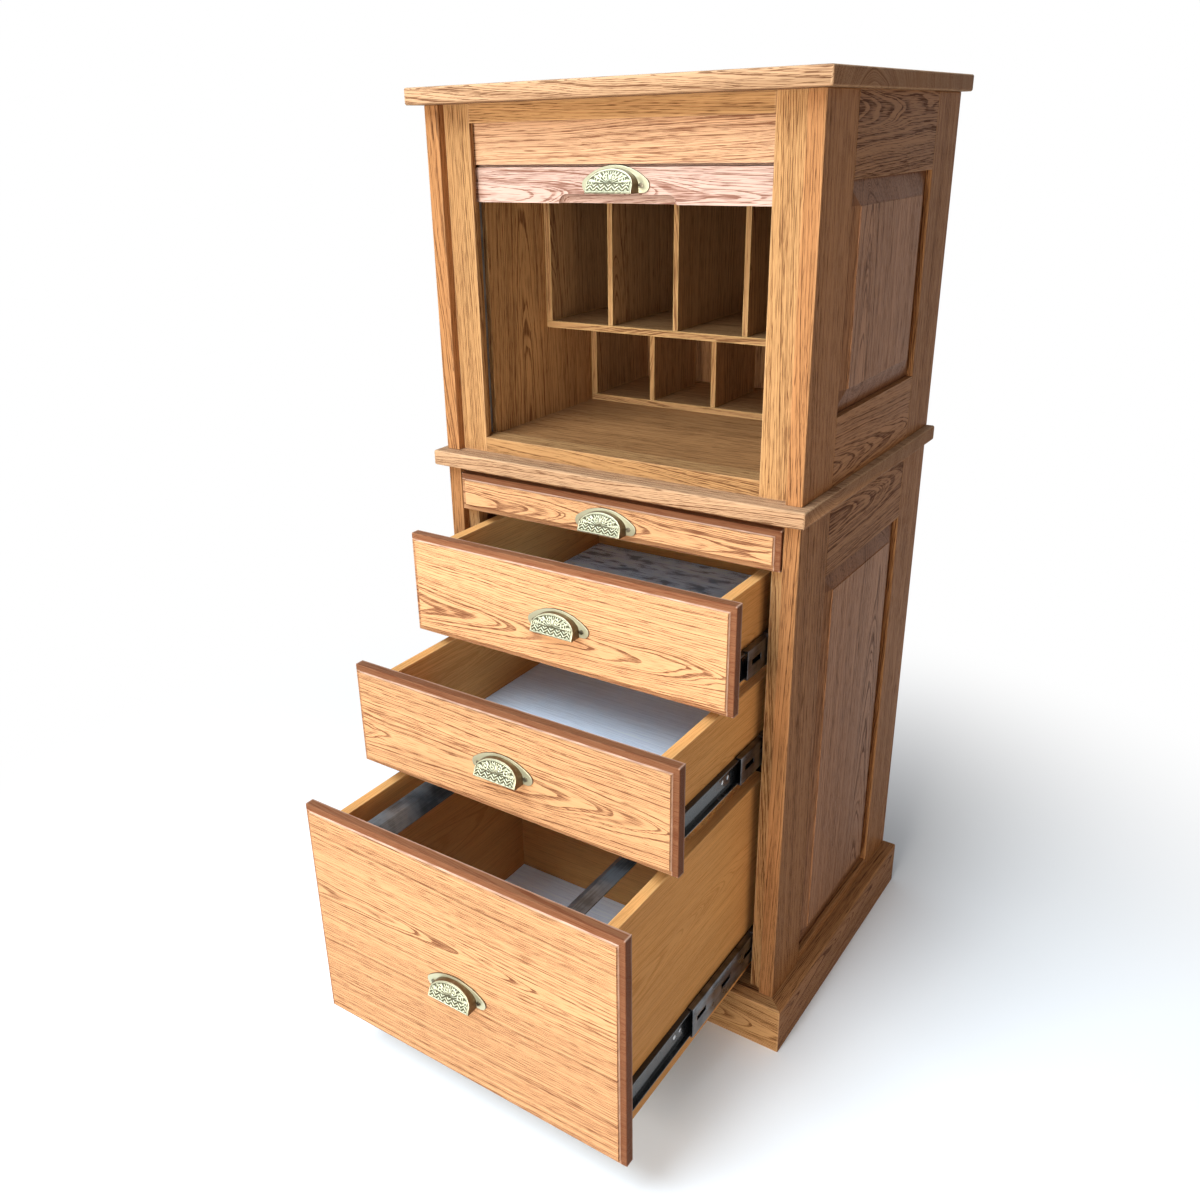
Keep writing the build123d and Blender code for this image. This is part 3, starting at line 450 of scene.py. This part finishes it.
# The part of the tambour that runs out of the bend: its slats are laid out at their true pitch as they hang
# when the rail is down on the sill, and drawn together behind the fascia for rest.
CURTAIN_TOP = 1.235
CURTAIN_END = 1.223
TRAVEL = next(joint for joint in frame["joints"] if joint["name"] == "tambour_lift")["range_m"][1]
SLAT_PITCH = 0.016
SLAT_FACE = 0.015
SLAT_BACK = -0.424
SLAT_THICK = 0.01
SLAT_ROUND = 0.004
SLAT_GAP = 0.0004
CANVAS_THICK = 0.001
CANVAS_GLUE = 0.0001
CANVAS_MARGIN = 0.012
CANVAS_STEP = 0.008
CANVAS_START = 0.0006
CANVAS_STOP = 0.003
SLUBS = (60.0, 60.0, 60.0)
THREADS = 4200.0
slat_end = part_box("tambour_curtain_front")[1].x
steps = np.linspace(0, 1, 2001)
hung = CURTAIN_TOP - (CURTAIN_TOP - CURTAIN_END) * steps - TRAVEL * steps * steps * (3 - 2 * steps)


def drawn_up(height):
    """The rest height of a point that hangs at the given height when the tambour is down."""
    share = float(np.interp(-height, -hung, steps))
    return CURTAIN_TOP - (CURTAIN_TOP - CURTAIN_END) * share


def curtain_mesh(name, rows, half_length):
    """Bars along x, drawn up from where they hang; each row lists the points round one section."""
    mesh = bpy.data.meshes.new(name)
    corners, faces = [], []
    for row in rows:
        first = len(corners)
        count = len(row)
        for side in (-half_length, half_length):
            corners += [(side, depth, height) for depth, height in row]
        faces.append([first + number for number in range(count)])
        faces.append([first + count + number for number in reversed(range(count))])
        for number in range(count):
            after = (number + 1) % count
            faces.append([first + number, first + count + number, first + count + after, first + after])
    mesh.from_pydata(corners, [], faces)
    mark_boards(mesh, name, "x", "rift")
    for vertex in mesh.vertices:
        vertex.co.z = drawn_up(vertex.co.z)
    return mesh


lowest = CURTAIN_END - TRAVEL + SLAT_GAP
slat_front = SLAT_BACK - SLAT_THICK
slat_rows = []
while lowest + SLAT_FACE < CURTAIN_TOP - SLAT_GAP:
    top = lowest + SLAT_FACE
    slat_rows.append([(SLAT_BACK, lowest), (slat_front + SLAT_ROUND, lowest),
                      (slat_front + SLAT_EASE, lowest + SLAT_EASE), (slat_front, lowest + SLAT_ROUND),
                      (slat_front, top - SLAT_ROUND), (slat_front + SLAT_EASE, top - SLAT_EASE),
                      (slat_front + SLAT_ROUND, top), (SLAT_BACK, top)])
    lowest += SLAT_PITCH
slats = curtain_mesh("curtain_slats", slat_rows, slat_end)


def woven(name, thread, gap, count):
    """Plain cloth: two sets of threads that pass over and under each other."""
    material = bpy.data.materials.new(name)
    material.use_nodes = True
    tree = material.node_tree
    surface = tree.nodes["Principled BSDF"]
    place_on = shader_node(tree, "ShaderNodeTexCoord").outputs["Object"]
    parts = shader_node(tree, "ShaderNodeSeparateXYZ", {0: place_on}).outputs
    warp = maths(tree, "SINE", maths(tree, "MULTIPLY", parts[0], count))
    weft = maths(tree, "SINE", maths(tree, "MULTIPLY", maths(tree, "ADD", parts[1], parts[2]), count))
    weave = maths(tree, "MULTIPLY_ADD", maths(tree, "MULTIPLY", warp, weft), 0.5, 0.5)
    slub = noise(tree, vector_maths(tree, "MULTIPLY", place_on, SLUBS), detail=3.0)
    share = maths(tree, "MULTIPLY_ADD", slub, 0.5, maths(tree, "MULTIPLY", weave, 0.5), clamp=True)
    tree.links.new(mix_colour(tree, share, gap, thread), surface.inputs["Base Color"])
    surface.inputs["Roughness"].default_value = 0.9
    bump = shader_node(tree, "ShaderNodeBump",
                       {"Height": weave, "Strength": 0.5, "Distance": BUMP_DISTANCE})
    tree.links.new(bump.outputs[0], surface.inputs["Normal"])
    return material


canvas_cloth = woven("canvas_cloth", (0.36, 0.28, 0.18), (0.18, 0.13, 0.08), THREADS)
curtain_slats = bpy.data.objects.new("curtain_slats", slats)
bpy.context.scene.collection.objects.link(curtain_slats)
slats.materials.append(slat_oak)
canvas_rows = []
step = CURTAIN_END - TRAVEL + CANVAS_START
glued = SLAT_BACK + CANVAS_GLUE
outer = SLAT_BACK + CANVAS_THICK
while step < CURTAIN_TOP - CANVAS_STOP:
    canvas_rows.append([(glued, step), (glued, step + CANVAS_STEP),
                        (outer, step + CANVAS_STEP), (outer, step)])
    step += CANVAS_STEP
curtain_canvas = bpy.data.objects.new("curtain_canvas",
                                      curtain_mesh("curtain_canvas", canvas_rows, slat_end - CANVAS_MARGIN))
bpy.context.scene.collection.objects.link(curtain_canvas)
curtain_canvas.data.materials.append(canvas_cloth)
for piece, slot in ((curtain_slats, "tambour_oak"), (curtain_canvas, "canvas")):
    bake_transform(piece)
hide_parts("tambour_curtain_front")
THIN_EASE = 0.0001
THIN_ANGLE = math.radians(60)
stored_canvas = place("stored_canvas", eased("tambour_canvas", THIN_EASE, THIN_ANGLE), "cabinet",
                      canvas_cloth)
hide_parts("tambour_canvas")

# Track strips.
# Thin grey plastic that faces the bottom of each groove, so that the slats run quietly.
SURFACE_PATCHES = (38.0, 38.0, 38.0)
SCRATCHES = (900.0, 12.0, 900.0)
SCRATCH_DEPTH = 0.0002


def metal(name, bright, dull, roughness, metallic=1.0, scratch=0.3, coat=0.0):
    """Sheet or cast metal, or smooth plastic, with a slightly uneven, handled surface."""
    material = bpy.data.materials.new(name)
    material.use_nodes = True
    tree = material.node_tree
    surface = tree.nodes["Principled BSDF"]
    place_on = shader_node(tree, "ShaderNodeTexCoord").outputs["Object"]
    patches = noise(tree, vector_maths(tree, "MULTIPLY", place_on, SURFACE_PATCHES), detail=4.0)
    lines = noise(tree, vector_maths(tree, "MULTIPLY", place_on, SCRATCHES), detail=2.0)
    share = maths(tree, "MULTIPLY_ADD", lines, scratch, maths(tree, "MULTIPLY", patches, 1 - scratch))
    colour = mix_colour(tree, ramp(tree, share, 0.35, 0.65), dull, bright)
    tree.links.new(colour, surface.inputs["Base Color"])
    tree.links.new(maths(tree, "MULTIPLY_ADD", patches, 0.25, roughness - 0.12), surface.inputs["Roughness"])
    surface.inputs["Metallic"].default_value = metallic
    surface.inputs["Coat Weight"].default_value = coat
    bump = shader_node(tree, "ShaderNodeBump",
                       {"Height": lines, "Strength": 0.12, "Distance": SCRATCH_DEPTH})
    tree.links.new(bump.outputs[0], surface.inputs["Normal"])
    return material


strip_plastic = metal("strip_plastic", (0.3, 0.31, 0.32), (0.16, 0.17, 0.18), 0.35, metallic=0.3)
strips = place("track_strip_faces", eased("track_strips", THIN_EASE, THIN_ANGLE), "cabinet",
               strip_plastic)
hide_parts("track_strips")

# Drawer slides.
# Ball-bearing slides rolled from zinc-plated strip; the members on the drawers are painted black.
zinc = metal("zinc", (0.2, 0.205, 0.215), (0.07, 0.072, 0.078), 0.3)
black_paint = metal("black_paint", (0.022, 0.024, 0.027), (0.01, 0.011, 0.012), 0.26, metallic=0.4, coat=0.4)
screw_steel = metal("screw_steel", (0.6, 0.6, 0.6), (0.32, 0.32, 0.33), 0.25)
STEEL_EASE = 0.0003
STEEL_ANGLE = math.radians(40)
HEAD_SIDES = 16
HEAD_RINGS = ((1.0, 0.0), (1.0, 0.45), (0.75, 0.85), (0.28, 1.0))
HEAD_ANGLE = math.radians(50)


def pan_head(work, centre, outward, radius=0.0035, height=0.0013):
    """Add the domed head of a screw, flat against a web, to a mesh that is being made."""
    rows = []
    for wide, high in HEAD_RINGS:
        row = []
        for number in range(HEAD_SIDES):
            turn = 2 * math.pi * number / HEAD_SIDES
            row.append(work.verts.new((centre[0] + outward * height * high,
                                       centre[1] + radius * wide * math.cos(turn),
                                       centre[2] + radius * wide * math.sin(turn))))
        rows.append(row)
    for low, high in zip(rows, rows[1:]):
        for number in range(HEAD_SIDES):
            after = (number + 1) % HEAD_SIDES
            work.faces.new((low[number], low[after], high[after], high[number]))
    work.faces.new(rows[-1])
    work.faces.new(list(reversed(rows[0])))


def slide_screws(name, node, web_x, offsets, body):
    """Pan-head screws along the middle of a pair of slide members."""
    low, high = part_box(node)
    work = bmesh.new()
    for side in (-1, 1):
        for offset in offsets:
            pan_head(work, (side * web_x, low.y + offset, (low.z + high.z) / 2), side)
    bmesh.ops.recalc_face_normals(work, faces=work.faces)
    mesh = bpy.data.meshes.new(name)
    work.to_mesh(mesh)
    work.free()
    mesh.shade_smooth()
    mesh.set_sharp_from_angle(angle=HEAD_ANGLE)
    place(name, mesh, body, screw_steel)


for name in ("slide_cabinet_members", "drawer_1_middle_members", "drawer_2_middle_members",
             "drawer_3_middle_members"):
    piece = place(f"{name}_zinc", eased(name, STEEL_EASE, STEEL_ANGLE), NODE_BODY[name], zinc)
    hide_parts(name)
DRAWER_WEB = 0.2267
SCREW_PLACES = (0.03, 0.15, 0.165, 0.27, 0.37)
for number in (1, 2, 3):
    name = f"drawer_{number}_slide_members"
    piece = place(f"{name}_black", eased(name, STEEL_EASE, STEEL_ANGLE), NODE_BODY[name], black_paint)
    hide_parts(name)
    slide_screws(f"drawer_{number}_slide_screws", name, DRAWER_WEB, SCREW_PLACES, NODE_BODY[name])

# Hanging-file rails.
# Folded steel strips across the top edges of the bottom drawer, dark from handling.
rail_steel = metal("rail_steel", (0.14, 0.155, 0.17), (0.05, 0.055, 0.06), 0.36, metallic=0.8)
folded = eased("file_hanging_rails", STEEL_EASE, STEEL_ANGLE)
rails = place("file_hanging_rails_steel", folded, "drawer_3", rail_steel)
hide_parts("file_hanging_rails")

# Cup pulls.
# Cast brass with a pale, worn lacquer: an eared back plate, a plain cup wall and a front face in relief,
# each fixed by two slotted screws.
PULL_TOP = 0.0235
PULL_SHANK = 0.0118
CUP_HALF = 0.034
CUP_HIGH = 0.02
CUP_LOW = 0.009
CUP_OUT_LOW = 0.021
CUP_OUT_HIGH = 0.009
SHEET_MARGIN = 0.0012
ZIGZAG_WIDTH = 0.0105
BAND_HEIGHT = 0.0042
SCROLLS = (((0.0055, 0.0095), 0.0056, 1), ((0.0168, 0.0072), 0.0058, -1), ((0.0262, 0.0035), 0.0044, 1))
SCALLOP = 0.0085
PULL_EASE = 0.00025
SCREW_WIDTH = 0.01
BRASS_METALLIC = 0.65
BRASS_PATCHES = (160.0, 160.0, 160.0)
RELIEF_DEPTH = 0.0009
SHEET_SUNK = 0.0004
SHEET_RISE = 0.0005
LIP_UP = 0.0011
SCALLOP_HEIGHT = 0.0006


def smooth_step(values, low, high):
    """A smooth 0 to 1 rise between two levels."""
    share = np.clip((values - low) / (high - low), 0, 1)
    return share * share * (3 - 2 * share)


def ridge(values, width):
    """A rounded ridge along every whole number."""
    away = np.abs(values - np.round(values))
    return np.clip(1 - (away / width) ** 2, 0, 1)


def volute(across, up, centre, size, hand, turns=1.6):
    """A coiled scroll."""
    dx = (across - centre[0]) * hand
    dy = up - centre[1]
    radius = np.hypot(dx, dy)
    coil = radius / size * turns - np.arctan2(dy, dx) / (2 * np.pi)
    return ridge(coil, 0.3) * (1 - smooth_step(radius, size * 0.86, size))


def relief_height(across, up):
    """Height of the relief in shares of its depth: scrolls above and zigzag bands below."""
    mirrored = np.abs(across)
    zigzag = np.abs(mirrored / ZIGZAG_WIDTH - np.round(mirrored / ZIGZAG_WIDTH)) * 2
    height = ridge((up + 0.0045 - BAND_HEIGHT * zigzag) / BAND_HEIGHT, 0.3)
    height *= 1 - smooth_step(up, 0.0012, 0.0026)
    for centre, size, hand in SCROLLS:
        height = np.maximum(height, volute(mirrored, up, centre, size, hand))
    leaf = ridge(np.arctan2(mirrored, up - 0.002) * 4.2, 0.34)
    leaf *= smooth_step(np.hypot(mirrored, up), 0.003, 0.006)
    return np.maximum(height, 0.55 * leaf * smooth_step(up, 0.002, 0.004))


def relief_mesh(name, mount_y, ear_z):
    """The front face of a cup pull as a fine sheet that stands just proud of the cup."""
    columns, rows = 180, 70
    share_x = np.linspace(-1, 1, columns)
    share_z = np.linspace(0, 1, rows)
    across = np.outer(np.ones(rows), share_x * (CUP_HALF - SHEET_MARGIN))
    top = (CUP_HIGH - SHEET_MARGIN) * np.sqrt(np.clip(1 - (across / (CUP_HALF - 0.0008)) ** 2, 0.0, 1))
    lip = -CUP_LOW + LIP_UP + SCALLOP_HEIGHT * (1 - np.abs(np.cos(across / SCALLOP * np.pi)))
    up = lip + (top - lip) * share_z[:, None]
    edge = np.minimum(np.minimum(top - up, up - lip), CUP_HALF - SHEET_MARGIN - np.abs(across))
    rim = smooth_step(edge, 0.0, 0.0007) * (1 - smooth_step(edge, 0.0013, 0.0019))
    field = smooth_step(edge, 0.0017, 0.0026) * relief_height(across, up)
    height = np.maximum(rim, field)
    lift = -SHEET_SUNK + SHEET_RISE * smooth_step(edge, 0.0, SHEET_RISE) + RELIEF_DEPTH * height
    slope = (CUP_OUT_HIGH - CUP_OUT_LOW) / (CUP_HIGH + CUP_LOW)
    out = CUP_OUT_LOW + (up + CUP_LOW) * slope
    tilt = math.hypot(1, slope)
    places = np.stack((across, mount_y - out - lift / tilt, ear_z + up - lift * slope / tilt), -1)
    places = places.reshape(-1, 3)
    faces = []
    for row in range(rows - 1):
        for column in range(columns - 1):
            first = row * columns + column
            faces.append((first, first + 1, first + columns + 1, first + columns))
    mesh = bpy.data.meshes.new(name)
    mesh.from_pydata(places.tolist(), [], faces)
    attribute = mesh.attributes.new("relief", "FLOAT", "POINT")
    attribute.data.foreach_set("value", height.astype(np.float32).ravel())
    mesh.shade_smooth()
    return mesh


def brass(name, bright, hollow, roughness):
    """Aged brass; hollows in the relief hold dark lacquer, and the cast is painted pale on faces turned to
    the front, as lit, and dark on the cup's wall and other faces, as shade.
    """
    material = bpy.data.materials.new(name)
    material.use_nodes = True
    tree = material.node_tree
    surface = tree.nodes["Principled BSDF"]
    raised = shader_node(tree, "ShaderNodeAttribute", attribute_name="relief").outputs["Fac"]
    place_on = shader_node(tree, "ShaderNodeTexCoord").outputs["Object"]
    patches = noise(tree, vector_maths(tree, "MULTIPLY", place_on, BRASS_PATCHES), detail=4.0)
    share = maths(tree, "MULTIPLY", ramp(tree, raised, 0.15, 0.75), 0.75)
    share = maths(tree, "MULTIPLY_ADD", patches, 0.5, share)
    colour = mix_colour(tree, ramp(tree, share, 0.2, 0.85), hollow, bright)
    tree.links.new(colour, surface.inputs["Base Color"])
    surface.inputs["Metallic"].default_value = BRASS_METALLIC
    tree.links.new(maths(tree, "MULTIPLY_ADD", patches, 0.2, roughness - 0.1), surface.inputs["Roughness"])
    return material


plain_brass = brass("plain_brass", (0.5, 0.48, 0.32), (0.12, 0.07, 0.03), 0.34)
relief_brass = brass("relief_brass", (0.46, 0.46, 0.32), (0.07, 0.06, 0.03), 0.42)
slot_screw = metal("slot_screw", (0.3, 0.27, 0.2), (0.1, 0.08, 0.05), 0.35)
for node, body in NODE_BODY.items():
    if not node.endswith("_pull"):
        continue
    mesh = eased(node, PULL_EASE, STEEL_ANGLE)
    small = np.zeros(len(mesh.vertices), bool)
    places = np.array([vertex.co[:] for vertex in mesh.vertices])
    for members in islands(mesh):
        small[members] = np.ptp(places[members, 0]) < SCREW_WIDTH
    # The cast is painted pale on faces turned to the front, as lit, and dark on the cup's wall and other
    # faces, as shade.
    facing = np.array([-vertex.normal.y for vertex in mesh.vertices])
    painted_light = mesh.attributes.new("relief", "FLOAT", "POINT")
    painted_light.data.foreach_set("value", smooth_step(facing, 0.6, 0.9).astype(np.float32))
    cast = place(f"{node}_cast", mesh, body, plain_brass, slot_screw)
    for polygon in mesh.polygons:
        polygon.material_index = int(small[polygon.vertices[0]])
    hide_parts(node)
    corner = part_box(node)[1]
    place(f"{node}_relief", relief_mesh(f"{node}_relief", corner.y - PULL_SHANK, corner.z - PULL_TOP), body,
          relief_brass)

# Floor, lamps and camera.
# A plain pale floor and backdrop; a soft lamp in front, a cool one above it and a weak warm one at the right.
CAMERA_PLACE = (0.776, -1.6679, 1.2652)
CAMERA_YAW = math.radians(35.1)
CAMERA_PITCH = math.radians(-23.27)
CAMERA_ROLL = math.radians(-1.55)
CAMERA_FOCAL = 1101.0
CAMERA_CENTRE = (569.8, 604.2)
IMAGE_SIDE = 1200.0
SENSOR = 36.0


def seen_rays(tree):
    """One for the rays that show a surface to the eye: direct, mirrored in gloss or through glass."""
    rays = shader_node(tree, "ShaderNodeLightPath").outputs
    seen = maths(tree, "MAXIMUM", rays["Is Glossy Ray"], rays["Is Transmission Ray"])
    return maths(tree, "MAXIMUM", rays["Is Camera Ray"], seen)


FLOOR_REACH = 9.0
FLOOR_MIDDLE = (0, -0.45, 0)
SHADOW_REACH = (0.45, 1.5)
UNSEEN_FLOOR = (0.3, 0.29, 0.28)
SEEN_FLOOR = (0.95, 0.95, 0.95)
floor_mesh = bpy.data.meshes.new("floor")
floor_mesh.from_pydata([(-FLOOR_REACH, -FLOOR_REACH, 0), (FLOOR_REACH, -FLOOR_REACH, 0),
                        (FLOOR_REACH, FLOOR_REACH, 0), (-FLOOR_REACH, FLOOR_REACH, 0)], [], [(0, 1, 2, 3)])
floor = bpy.data.objects.new("floor", floor_mesh)
bpy.context.scene.collection.objects.link(floor)
floor_paint = bpy.data.materials.new("floor_paint")
floor_paint.use_nodes = True
tree = floor_paint.node_tree
paint = tree.nodes["Principled BSDF"]
seen = seen_rays(tree)
tree.links.new(mix_colour(tree, seen, UNSEEN_FLOOR, SEEN_FLOOR), paint.inputs["Base Color"])
paint.inputs["Roughness"].default_value = 0.9
paint.inputs["Specular IOR Level"].default_value = 0.1
glow = shader_node(tree, "ShaderNodeEmission", {"Color": (1, 1, 1, 1), "Strength": 1.0})
on_floor = shader_node(tree, "ShaderNodeTexCoord").outputs["Object"]
on_floor = vector_maths(tree, "SUBTRACT", on_floor, FLOOR_MIDDLE)
away = shader_node(tree, "ShaderNodeVectorMath", {0: on_floor}, operation="LENGTH").outputs["Value"]
fade = maths(tree, "MULTIPLY", ramp(tree, away, *SHADOW_REACH), seen)
blend_out = shader_node(tree, "ShaderNodeMixShader", {0: fade, 1: paint.outputs[0], 2: glow.outputs[0]})
tree.links.new(blend_out.outputs[0], tree.nodes["Material Output"].inputs["Surface"])
floor_mesh.materials.append(floor_paint)


def lamp(name, place_at, aim, watts, size, colour):
    """A soft square lamp."""
    light = bpy.data.lights.new(name, "AREA")
    light.energy = watts
    light.size = size
    light.color = colour
    holder = bpy.data.objects.new(name, light)
    bpy.context.scene.collection.objects.link(holder)
    holder.location = place_at
    holder.rotation_euler = (Vector(aim) - Vector(place_at)).to_track_quat("-Z", "Y").to_euler()


lamp("key", (0.1, -3.7, 1.0), aim=(0, -0.4, 0.6), watts=124, size=1.6, colour=(1.0, 0.96, 0.9))
lamp("window", (-0.7, -2.5, 3.4), aim=(0, -0.5, 0.4), watts=175, size=2.0, colour=(0.74, 0.88, 1.0))
lamp("fill", (2.5, -1.6, 0.5), aim=(0, -0.3, 0.45), watts=18, size=1.2, colour=(1.0, 0.84, 0.68))
world = bpy.data.worlds.new("studio")
bpy.context.scene.world = world
world.use_nodes = True
tree = world.node_tree
sky = tree.nodes["Background"]
plain = seen_rays(tree)
heading = shader_node(tree, "ShaderNodeTexCoord").outputs["Generated"]
toward = shader_node(tree, "ShaderNodeSeparateXYZ", {0: heading}).outputs
WARM_LOW = (1.0, 0.86, 0.7)
COOL_HIGH = (0.78, 0.88, 1.0)

# The room's own light is brighter from above and the left, and weaker from behind and the right.
around = maths(tree, "MULTIPLY_ADD", ramp(tree, toward[2], 0.1, 0.9), 0.5, 0.1)
around = maths(tree, "MULTIPLY_ADD", ramp(tree, toward[0], -0.1, -0.9), 0.2, around)
around = maths(tree, "MULTIPLY", around, ramp(tree, toward[1], 0.0, 0.8, 1.0, 0.25))
around = maths(tree, "MULTIPLY", around, ramp(tree, toward[0], 0.0, 0.8, 1.0, 0.35))
tree.links.new(maths(tree, "MAXIMUM", plain, around), sky.inputs["Strength"])
tint = mix_colour(tree, ramp(tree, toward[2], 0.2, 0.8), WARM_LOW, COOL_HIGH)
tree.links.new(mix_colour(tree, plain, tint, (1, 1, 1)), sky.inputs["Color"])

forward = Vector((-math.sin(CAMERA_YAW) * math.cos(CAMERA_PITCH),
                  math.cos(CAMERA_YAW) * math.cos(CAMERA_PITCH),
                  math.sin(CAMERA_PITCH)))
level_right = Vector((math.cos(CAMERA_YAW), math.sin(CAMERA_YAW), 0))
level_up = level_right.cross(forward)
right = level_right * math.cos(CAMERA_ROLL) + level_up * math.sin(CAMERA_ROLL)
up = level_up * math.cos(CAMERA_ROLL) - level_right * math.sin(CAMERA_ROLL)
lens = bpy.data.cameras.new("view")
lens.sensor_width = SENSOR
lens.lens = CAMERA_FOCAL / IMAGE_SIDE * SENSOR
lens.shift_x = (IMAGE_SIDE / 2 - CAMERA_CENTRE[0]) / IMAGE_SIDE
lens.shift_y = (CAMERA_CENTRE[1] - IMAGE_SIDE / 2) / IMAGE_SIDE
camera = bpy.data.objects.new("view", lens)
bpy.context.scene.collection.objects.link(camera)
turn = Matrix((right, up, -forward)).transposed()
camera.matrix_world = Matrix.Translation(CAMERA_PLACE) @ turn.to_4x4()
bpy.context.scene.camera = camera
bpy.context.scene.view_settings.view_transform = "Standard"
